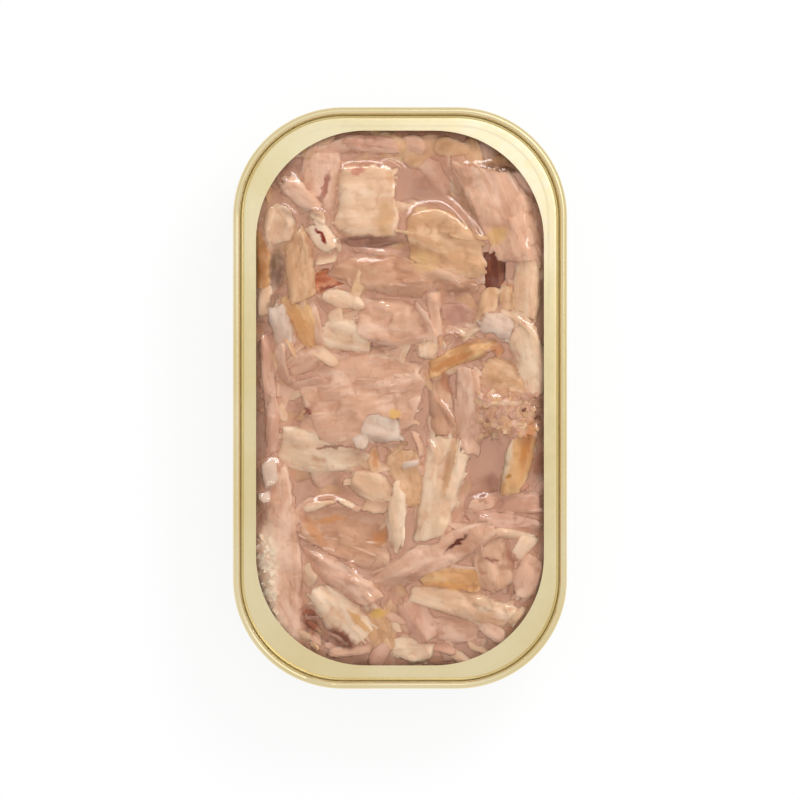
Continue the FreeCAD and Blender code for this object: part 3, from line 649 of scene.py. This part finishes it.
def surface_tree(pieces):
    """Ray tree over the joined triangles of some pieces, in metres."""
    points, faces, count = [], [], 0
    for piece in pieces:
        mesh = piece.data
        mesh.calc_loop_triangles()
        own = np.empty(len(mesh.vertices) * 3)
        mesh.vertices.foreach_get("co", own)
        turn = np.array(piece.matrix_world)
        points.append(own.reshape(-1, 3) @ turn[:3, :3].T + turn[:3, 3])
        corners = np.empty(len(mesh.loop_triangles) * 3, dtype=np.int32)
        mesh.loop_triangles.foreach_get("vertices", corners)
        faces.append(corners.reshape(-1, 3) + count)
        count += len(mesh.vertices)
    return BVHTree.FromPolygons(np.concatenate(points).tolist(), np.concatenate(faces).tolist())


def height_of(tree, x, y):
    """Height at which a ray straight down at a place meets a tree, in metres, or None."""
    hit = tree.ray_cast(Vector((x, y, can_high.z)), Vector((0, 0, -1)))[0]
    return hit.z if hit else None


def along_across(x, y, middle_x, middle_y, heading):
    """How far places lie from a middle, along a heading and across it."""
    c, s = math.cos(math.radians(heading)), math.sin(math.radians(heading))
    return ((x - middle_x) * c + (y - middle_y) * s, (y - middle_y) * c - (x - middle_x) * s)


sunk_count = 330
small_thickness = 1.6
border_spacing = 3.0
strand_area = 40
bpy.context.view_layer.update()
packed = surface_tree(chunks)
level = fill_level / mm
draw = np.random.default_rng(11)
places = [(piece.location / mm, meat[piece.name[5:]][0]) for piece in chunks]
reach_x, reach_y = half_x / mm, half_y / mm


def grain_near(x, y):
    """Heading of the piece whose middle lies nearest."""
    return min(places, key=lambda p: (p[0].x - x) ** 2 + (p[0].y - y) ** 2)[1]


def top_at(x, y):
    """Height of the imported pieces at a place, in millimetres."""
    height = height_of(packed, x * mm, y * mm)
    return 0.0 if height is None else height / mm


# Clear pools, where no piece comes near the surface: middle, half sizes, heading and
# how much deeper the sunk scraps lie there.
pools = [(3.6, 41.2, 8.5, 4.2, 0, 0.25), (-4.0, 10.0, 2.6, 2.0, 0, 1.4),
         (15.2, -13.4, 3.4, 6.4, -18, 0.9), (-14.0, -15.9, 6.4, 2.8, 0, 0.35),
         (19.2, -36.0, 3.2, 1.6, -20, 1.0), (1.6, -6.4, 3.2, 2.8, 0, 0.8),
         (24.0, -15.0, 1.5, 3.0, 0, 1.2), (-6.0, 28.2, 6.4, 1.3, 0, 1.4), (8.8, 2.8, 2.2, 2.6, 0, 0.9)]


def pool_depth(x, y):
    """How much deeper scraps lie at a place: 0 outside the clear pools."""
    for cx, cy, long, wide, heading, deeper in pools:
        u, v = along_across(x, y, cx, cy, heading)
        if (u / long) ** 2 + (v / wide) ** 2 < 1:
            return deeper
    return 0.0


heaps = {tone: Heap() for tone in ("cream", "pink", "rose", "tan", "lilac", "pale")}
shares = {"cream": 0.34, "pink": 0.36, "rose": 0.16, "tan": 0.14}
sunk = {"pink": Heap(), "rose": Heap(), "tan": Heap()}
for number in range(sunk_count):
    x, y = draw.uniform(-reach_x, reach_x), draw.uniform(-reach_y, reach_y)
    deeper = pool_depth(x, y)
    length = draw.uniform(5, 9) if deeper else draw.uniform(5, 12)
    size = (length, length * draw.uniform(0.3, 0.65), draw.uniform(1.0, 1.8))
    height = level - size[2] / 2 - deeper - draw.uniform(0.25, 0.9)
    sunk[("pink", "rose", "tan")[number % 3]].add((x, y, height), size,
                                                  grain_near(x, y) + draw.normal(0, 25), draw)

# Small pieces that stand out: middle, length, width, heading, tone and rise over the jelly.
small_pieces = [
    (-7.0, -7.7, 3.2, 2.8, 20, "lilac", 0.75), (-11.6, 14.5, 3.4, 3.0, 40, "cream", 0.55),
    (-13.3, 25.3, 4.2, 2.6, 10, "cream", 0.35), (-13.4, 7.6, 5.8, 2.6, -42, "cream", 0.40),
    (16.6, -42.4, 5.8, 3.0, -30, "pink", 0.30), (-21.2, 5.8, 8.0, 2.2, -72, "pink", 0.35),
    (-4.4, -19.6, 5.0, 2.8, -10, "cream", 0.30), (-7.3, 20.2, 5.6, 3.0, 60, "tan", 0.30),
    (22.3, -27.1, 5.6, 3.2, 55, "cream", 0.35), (-9.2, -45.8, 8.4, 2.2, 6, "pink", 0.15),
    (14.2, 24.4, 8.0, 2.2, -80, "pink", 0.30), (-15.4, 13.8, 9.0, 2.0, -80, "pink", 0.25),
    (-24.5, -17.8, 2.4, 2.0, 0, "lilac", 0.75), (-16.4, -32.2, 3.6, 3.2, -50, "cream", 0.40),
    (-15.0, 33.0, 3.4, 2.4, -20, "cream", 0.55), (-4.7, -11.2, 5.0, 2.2, -86, "tan", 0.35),
    (-14.6, -19.4, 6.4, 1.4, 14, "cream", 0.35), (-9.8, -19.0, 3.6, 1.3, -24, "cream", 0.30),
    (2.2, 45.6, 5.2, 3.6, -8, "pink", -0.35), (9.6, 45.2, 7.4, 3.6, -14, "tan", -0.40),
    (-13.2, 45.0, 12.0, 3.0, 14, "pink", -0.15), (13.6, 0.0, 3.2, 2.4, 60, "cream", 0.40),
    (16.3, 0.0, 3.4, 1.8, 80, "cream", 0.40), (-19.4, 8.6, 5.2, 1.3, -66, "tan", 0.40),
    (-17.0, 2.6, 6.8, 1.8, 16, "rose", 0.20), (3.4, -8.2, 5.4, 1.6, -70, "pink", 0.30),
    (1.8, -12.0, 3.6, 1.6, 12, "lilac", 0.40), (-23.6, -13.6, 5.0, 3.4, -80, "lilac", 0.75),
    (20.8, -24.8, 8.0, 1.8, -6, "cream", 0.25), (4.8, 13.6, 9.0, 1.7, -64, "pink", 0.70),
    (12.6, 11.6, 4.4, 1.4, 40, "cream", 0.30), (14.4, 15.2, 4.6, 1.2, 64, "tan", 0.40),
]
for x, y, length, width, heading, tone, rise in small_pieces:
    heaps[tone].add((x, y, level + rise - 0.7), (length, width, small_thickness), heading, draw)

# Places full of shreds: middle, half sizes, how many, and their length from and to.
for cx, cy, long, wide, count, least, most in (
        (-17.5, 9.0, 6.5, 9.0, 70, 1.8, 5.5), (12.5, 14.5, 5.5, 6.0, 60, 1.2, 4.5),
        (1.5, -14.5, 4.5, 6.0, 60, 1.2, 4.6), (19.5, -3.0, 5.4, 4.0, 130, 0.7, 1.8),
        (18.4, 41.6, 3.4, 0.6, 14, 0.5, 1.2), (-24.0, -34.0, 1.8, 9.0, 90, 0.6, 1.4),
        (5.0, 5.5, 8.0, 5.0, 40, 1.4, 5.0), (6.0, -42.0, 10.0, 5.0, 50, 2.0, 6.0),
        (-16.0, -41.0, 4.0, 5.0, 26, 1.2, 4.0), (18.5, 17.5, 5.0, 4.0, 24, 1.4, 3.4),
        (0.0, 0.0, 25.0, 47.0, 230, 1.4, 6.0)):
    for _ in range(count):
        x, y = cx + long * draw.uniform(-1, 1), cy + wide * draw.uniform(-1, 1)
        top = top_at(x, y)
        on_piece = top > level - 0.3
        if on_piece and most > 2.5 or pool_depth(x, y):
            continue
        length = draw.uniform(least, most)
        share = draw.uniform(0.28, 0.55) if most > 2.5 else draw.uniform(0.55, 0.9)
        size = (length, length * share + 0.2, draw.uniform(0.6, 1.2))
        height = top + 0.1 if on_piece else level + draw.uniform(-0.55, 0.15)
        tone = draw.choice(list(shares), p=list(shares.values()))
        if most <= 2.5:
            tone = draw.choice(["tan", "rose"] if cx > 0 else ["pink", "cream"])
        heaps[tone].add((x, y, height - size[2] / 2 + 0.15), size,
                        grain_near(x, y) + draw.normal(0, 24), draw)
# Torn bits that cling to the border of each piece, and loose strands along its crown.
for piece in chunks:
    heading, tone, _ = meat[piece.name[5:]]
    if tone == "dark":
        continue
    tone = tone if tone in heaps else "pink"
    own = surface_tree([piece])

    def own_top(place):
        """Height of this piece at a place where nothing lies on it, or None."""
        height = height_of(own, place.x * mm, place.y * mm)
        if height is None or height / mm <= top_at(place.x, place.y) - 0.05:
            return None
        return height / mm

    long, wide = piece.dimensions.x / mm / 2, piece.dimensions.y / mm / 2
    turn = Matrix.Rotation(math.radians(heading), 3, "Z")
    for _ in range(int(4 * (long + wide) / border_spacing)):
        u, v = draw.uniform(-1, 1), draw.uniform(-1, 1)
        reach = max(abs(u), abs(v))
        length = draw.uniform(1.0, 3.2)
        size = (length, draw.uniform(0.4, 0.9) + 0.12 * length, draw.uniform(0.4, 0.8))
        drop, yaw = draw.uniform(0.0, 0.3), draw.normal(0, 22)
        for share in np.arange(1.1, 0.5, -0.06):
            place = piece.location / mm + turn @ Vector((u * long, v * wide, 0)) * share / reach
            height = own_top(place)
            if height is not None and height > level - 0.2:
                heaps[tone].add((place.x, place.y, height - drop - size[2] / 2), size,
                                heading + yaw, draw, rough=0.10)
                break
    for _ in range(int(long * wide * 4 / strand_area)):
        u, v = 0.84 * long * draw.uniform(-1, 1), 0.84 * wide * draw.uniform(-1, 1)
        place = piece.location / mm + turn @ Vector((u, v, 0))
        size = (draw.uniform(2.5, 6.5), draw.uniform(0.4, 1.0), draw.uniform(0.3, 0.5))
        height = own_top(place)
        if height is not None:
            heaps[tone].add((place.x, place.y, height - 0.5 * size[2] + draw.uniform(0.0, 0.08)), size,
                            heading + draw.normal(0, 7), draw, rough=0.08)
slots = {"cream": "meat_cream", "pink": "meat_pink", "rose": "meat_pink", "tan": "meat_tan",
         "lilac": "meat_cream", "pale": "meat_cream"}
shreds = [heap.piece("shreds_" + tone, slots[tone], tones[tone]) for tone, heap in heaps.items()]
shreds += [heap.piece("sunk_" + tone, slots[tone], tones[tone]) for tone, heap in sunk.items()]


# ---- Clear glaze of jelly ----
# The broth's uppermost layer set clear: it wets every crown as a thin film, rises up
# the sides of the pieces in small curved fillets, and lies flat in the pools between.

bpy.context.view_layer.update()
below = surface_tree([core] + chunks + shreds)

film_pitch = 0.30 * mm
film_thickness = 0.08 * mm
least_share = 0.2
floor_level = fill_level - 0.55 * mm
drape_rounds = 80
soften_rounds = 3
fold_height = 0.40 * mm
fold_width = 0.95
fold_fade = 1.25
ripple = 0.030 * mm
wrinkling = 6
thin = 0.35 * mm
cover_thinning = 0.68
x, y, quads, shape = room_grid(film_pitch)
ground = np.empty(len(x))
for i, (px, py) in enumerate(zip(x.tolist(), y.tolist())):
    height = height_of(below, px, py)
    ground[i] = fill_level - core_drop if height is None else height


def softened(height):
    """Each point's height averaged with its neighbours'."""
    padded = np.pad(height, 1, mode="edge")
    return (4 * padded[1:-1, 1:-1] + padded[:-2, 1:-1] + padded[2:, 1:-1]
            + padded[1:-1, :-2] + padded[1:-1, 2:]) / 8


# Folds in the jelly's skin, that run in shallow bows: the ends and how far each bows out.
folds = [(-21.5, 34.8, -18.5, 32.3, 0.4), (-16.4, 34.1, -13.5, 32.8, 0.4), (-9.3, 27.3, -2.3, 26.2, 0.0),
         (-3.0, 43.0, 0.8, 41.0, 0.5), (7.5, 37.0, 14.8, 28.0, 0.9), (9.0, 21.2, 11.5, 19.8, 0.2),
         (8.5, 11.3, 11.8, 11.3, 0.4), (20.5, 14.8, 23.8, 11.8, 0.3), (6.8, -0.2, 9.8, -4.8, 0.3),
         (17.8, -6.8, 18.5, -8.5, 0.1), (5.2, -7.6, 6.2, -10.0, 0.2), (14.0, -21.6, 16.5, -22.3, 0.2),
         (16.2, -25.9, 19.8, -24.5, 0.5), (-16.5, -28.0, -14.0, -29.5, 0.2),
         (-9.8, -29.8, -8.2, -30.3, 0.2), (-9.5, -32.5, -7.5, -33.8, 0.2),
         (-6.5, -35.0, -5.0, -37.5, 0.2), (19.0, -37.7, 19.7, -40.2, 0.6),
         (-24.5, -16.0, -22.5, -16.0, 0.5), (-22.4, 25.8, -22.8, 22.8, 0.5)]
# Spots where the jelly's cloudy cover is thinned and the dark below shows: middle, half sizes,
# heading.  The others are clear jelly; the first, under the cream block, and the one at (-22.4, 23.4) by
# the left wall are painted shade.
clear_and_shaded_spots = [(-6.0, 28.0, 6.8, 1.3, 0), (-3.6, 10.2, 3.2, 1.6, 10), (-15.0, -41.6, 3.2, 2.2, -30),
           (-12.0, -44.4, 4.0, 1.4, -20), (16.6, -17.0, 2.4, 4.0, -20), (-22.4, 23.4, 1.6, 4.0, 0),
           (2.6, 28.4, 2.4, 1.2, -30), (13.2, 21.0, 1.4, 2.4, 0), (20.6, -34.6, 2.4, 1.6, -30)]
# Crowns on which the skin is finely wrinkled: middle and radius.
wrinkled = [(-2.1, 15.6, 2.4), (14.6, -36.4, 2.6), (7.4, -33.4, 1.8), (-9.0, -31.6, 2.0),
            (-19.6, 30.6, 1.6)]
support = np.maximum(ground + film_thickness, floor_level).reshape(shape)
film = support.copy()
for _ in range(drape_rounds):
    film = np.maximum(softened(film), support)
for _ in range(soften_rounds):
    film = softened(film)
film = np.maximum(film, (ground + least_share * film_thickness).reshape(shape)).ravel()
for start_x, start_y, end_x, end_y, bow in folds:
    run = np.hypot(end_x - start_x, end_y - start_y)
    along_x, along_y = (end_x - start_x) / run, (end_y - start_y) / run
    u = ((x / mm - start_x) * along_x + (y / mm - start_y) * along_y) / run * 2 - 1
    v = (x / mm - start_x) * -along_y + (y / mm - start_y) * along_x - bow * (1 - u * u)
    fade = np.clip(fold_fade - u * u, 0, 1)
    film = film + fold_height * fade * np.clip(1 - np.abs(v) / fold_width, 0, 1) ** 2
wave = lattice_noise(np.stack([x, y, 0 * x], axis=1) / (1.0 * mm), 21)
wave += 0.6 * lattice_noise(np.stack([x, y, 0 * x], axis=1) / (0.55 * mm), 22)
wrinkle = sum(np.exp(-((x / mm - px) ** 2 + (y / mm - py) ** 2) / radius ** 2)
              for px, py, radius in wrinkled)
unrest = ripple * wave * (1 + wrinkling * wrinkle) + film_thickness * wrinkle
film = film + unrest * (film - ground < thin)
film = np.maximum(film, ground + least_share * film_thickness)
glaze = new_piece("jelly_glaze", np.stack([x, y, film], axis=1).tolist(), quads.tolist())
bare = surface_tree([piece for piece in chunks if piece.name in ("meat_dark_lump", "meat_red_wedge")])
cover = film - ground
for i in np.flatnonzero(cover > 0.1 * mm):
    height = height_of(bare, x[i], y[i])
    if height is not None and height > ground[i] - 0.05 * mm:
        cover[i] = 0
# Thins the cloudy cover at each spot: clear jelly, and painted shade under the cream block and at the
# left wall.
for px, py, half_long, half_wide, heading in clear_and_shaded_spots:
    u, v = along_across(x / mm, y / mm, px, py, heading)
    cover *= 1 - cover_thinning * np.exp(-((u / half_long) ** 2 + (v / half_wide) ** 2) ** 2)
depth = glaze.data.attributes.new("depth", "FLOAT", "POINT")
depth.data.foreach_set("value", cover / mm)
drop_loose(glaze.data)

clear = bpy.data.materials.new("jelly_glaze")
clear.use_nodes = True
tree = clear.node_tree
tree.nodes.remove(tree.nodes["Principled BSDF"])
deep = tree.nodes.new("ShaderNodeAttribute")
deep.attribute_name = "depth"
thickness = deep.outputs["Fac"]
see = tree.nodes.new("ShaderNodeBsdfTransparent")
tint = mix_colours(tree, (1, 1, 1), linear(232, 190, 160), ramp(tree, thickness, 0.15, 1.4))
tree.links.new(tint, see.inputs["Color"])
haze = tree.nodes.new("ShaderNodeBsdfDiffuse")
haze.inputs["Color"].default_value = (*linear(204, 155, 129), 1)
cloudy = tree.nodes.new("ShaderNodeMixShader")
tree.links.new(ramp(tree, thickness, 0.12, 1.0, 0.0, 0.62), cloudy.inputs["Fac"])
tree.links.new(see.outputs[0], cloudy.inputs[1])
tree.links.new(haze.outputs[0], cloudy.inputs[2])
gloss = tree.nodes.new("ShaderNodeBsdfGlossy")
gloss.inputs["Roughness"].default_value = 0.10
edge = tree.nodes.new("ShaderNodeFresnel")
edge.inputs["IOR"].default_value = 1.45
wet = tree.nodes.new("ShaderNodeMixShader")
tree.links.new(edge.outputs[0], wet.inputs["Fac"])
tree.links.new(cloudy.outputs[0], wet.inputs[1])
tree.links.new(gloss.outputs[0], wet.inputs[2])
tree.links.new(wet.outputs[0], tree.nodes["Material Output"].inputs["Surface"])
glaze.data.materials.append(clear)


# ---- Floor, light and camera ----
# A plain white table under soft studio lamps, seen from straight above through a
# long lens.

scene = bpy.context.scene
scene.view_settings.view_transform = "Standard"
world = bpy.data.worlds.new("studio")
world.use_nodes = True
scene.world = world
tree = world.node_tree
tree.nodes["Background"].inputs["Color"].default_value = (0.80, 0.80, 0.80, 1)
tree.nodes["Background"].inputs["Strength"].default_value = 1.0
white = tree.nodes.new("ShaderNodeBackground")
white.inputs["Color"].default_value = (1, 1, 1, 1)
pick = tree.nodes.new("ShaderNodeMixShader")
tree.links.new(tree.nodes.new("ShaderNodeLightPath").outputs["Is Camera Ray"], pick.inputs["Fac"])
tree.links.new(tree.nodes["Background"].outputs[0], pick.inputs[1])
tree.links.new(white.outputs[0], pick.inputs[2])
tree.links.new(pick.outputs[0], tree.nodes["World Output"].inputs["Surface"])


def seen_or_mirrored(tree):
    """1 for rays from the camera, and for those that a glossy or clear surface sends on."""
    path = tree.nodes.new("ShaderNodeLightPath")
    total = path.outputs["Is Camera Ray"]
    for ray in ("Is Glossy Ray", "Is Transmission Ray"):
        more = tree.nodes.new("ShaderNodeMath")
        more.operation = "MAXIMUM"
        tree.links.new(total, more.inputs[0])
        tree.links.new(path.outputs[ray], more.inputs[1])
        total = more.outputs[0]
    return total


floor_half = 4.0
mesh = bpy.data.meshes.new("floor")
mesh.from_pydata([(-floor_half, -floor_half, 0), (floor_half, -floor_half, 0),
                  (floor_half, floor_half, 0), (-floor_half, floor_half, 0)], [], [(0, 1, 2, 3)])
floor = bpy.data.objects.new("floor", mesh)
scene.collection.objects.link(floor)
pale = bpy.data.materials.new("pale_floor")
pale.use_nodes = True
tree = pale.node_tree
shader = tree.nodes["Principled BSDF"]
shader.inputs["Base Color"].default_value = (0.85, 0.85, 0.85, 1)
shader.inputs["Roughness"].default_value = 0.9
shader.inputs["Specular IOR Level"].default_value = 0.0
glow = tree.nodes.new("ShaderNodeEmission")
glow.inputs["Color"].default_value = (1, 1, 1, 1)
share = tree.nodes.new("ShaderNodeMath")
share.operation = "MULTIPLY"
share.inputs[1].default_value = 0.85
tree.links.new(seen_or_mirrored(tree), share.inputs[0])
pick = tree.nodes.new("ShaderNodeMixShader")
tree.links.new(share.outputs[0], pick.inputs["Fac"])
tree.links.new(shader.outputs[0], pick.inputs[1])
tree.links.new(glow.outputs[0], pick.inputs[2])
from_below = tree.nodes.new("ShaderNodeMixShader")
tree.links.new(tree.nodes.new("ShaderNodeNewGeometry").outputs["Backfacing"], from_below.inputs["Fac"])
tree.links.new(pick.outputs[0], from_below.inputs[1])
tree.links.new(tree.nodes.new("ShaderNodeBsdfTransparent").outputs[0], from_below.inputs[2])
tree.links.new(from_below.outputs[0], tree.nodes["Material Output"].inputs["Surface"])
floor.data.materials.append(pale)


def soft_box(name, place, size, power, colour=(1, 1, 1), shows=("light", "gleam"), only=()):
    """Oblong studio lamp at place that shines on the can.  It gives light, a gleam on what
    shines, or both, and only names the pieces that are not flagged off from it."""
    lamp = bpy.data.lights.new(name, "AREA")
    lamp.shape = "RECTANGLE"
    lamp.size, lamp.size_y = size
    lamp.energy = power
    lamp.color = colour
    holder = bpy.data.objects.new(name, lamp)
    scene.collection.objects.link(holder)
    holder.location = place
    aim = Vector((0, 0, fill_level)) - Vector(place)
    holder.rotation_euler = aim.to_track_quat("-Z", "Y").to_euler()
    holder.visible_camera = False
    holder.visible_diffuse = "light" in shows
    holder.visible_glossy = "gleam" in shows
    if only:
        lit = bpy.data.collections.new(name)
        for piece in only:
            lit.objects.link(piece)
        holder.light_linking.receiver_collection = lit


metal = (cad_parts["can_body"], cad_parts["lid_ring"])
soft_box("key", (0.32, 0.42, 0.62), (0.34, 0.30), 2.50, (0.94, 1.0, 1.0), ("light",))
soft_box("ceiling", (0.10, 0.14, 0.90), (1.0, 1.0), 2.3, (0.94, 1.0, 1.0), ("light",))
soft_box("right strip", (0.34, 0.40, 0.62), (0.60, 0.12), 4.0, shows=("gleam",), only=(glaze,))
soft_box("top strip", (-0.08, 0.52, 0.62), (0.46, 0.10), 2.2, shows=("gleam",), only=(glaze,))
soft_box("overhead", (0.155, 0.17, 0.80), (0.25, 0.28), 0.235)
soft_box("left corner", (-0.048, 0.076, 0.70), (0.05, 0.05), 0.0047, (0.40, 0.66, 1.0), only=metal)
soft_box("right corner", (0.053, 0.074, 0.70), (0.06, 0.06), 0.0140, (0.12, 0.30, 1.0), only=metal)

camera_data = bpy.data.cameras.new("overhead")
camera = bpy.data.objects.new("overhead", camera_data)
scene.collection.objects.link(camera)
scene.camera = camera
camera_height = 1.0
camera_shift = -0.36 * mm
view_width = 144.07 * mm
sensor_width = 36
camera.location = (0, camera_shift, can_high.z + camera_height)
camera_data.sensor_width = sensor_width
camera_data.lens = sensor_width * camera_height / view_width
camera_data.clip_start = 0.05
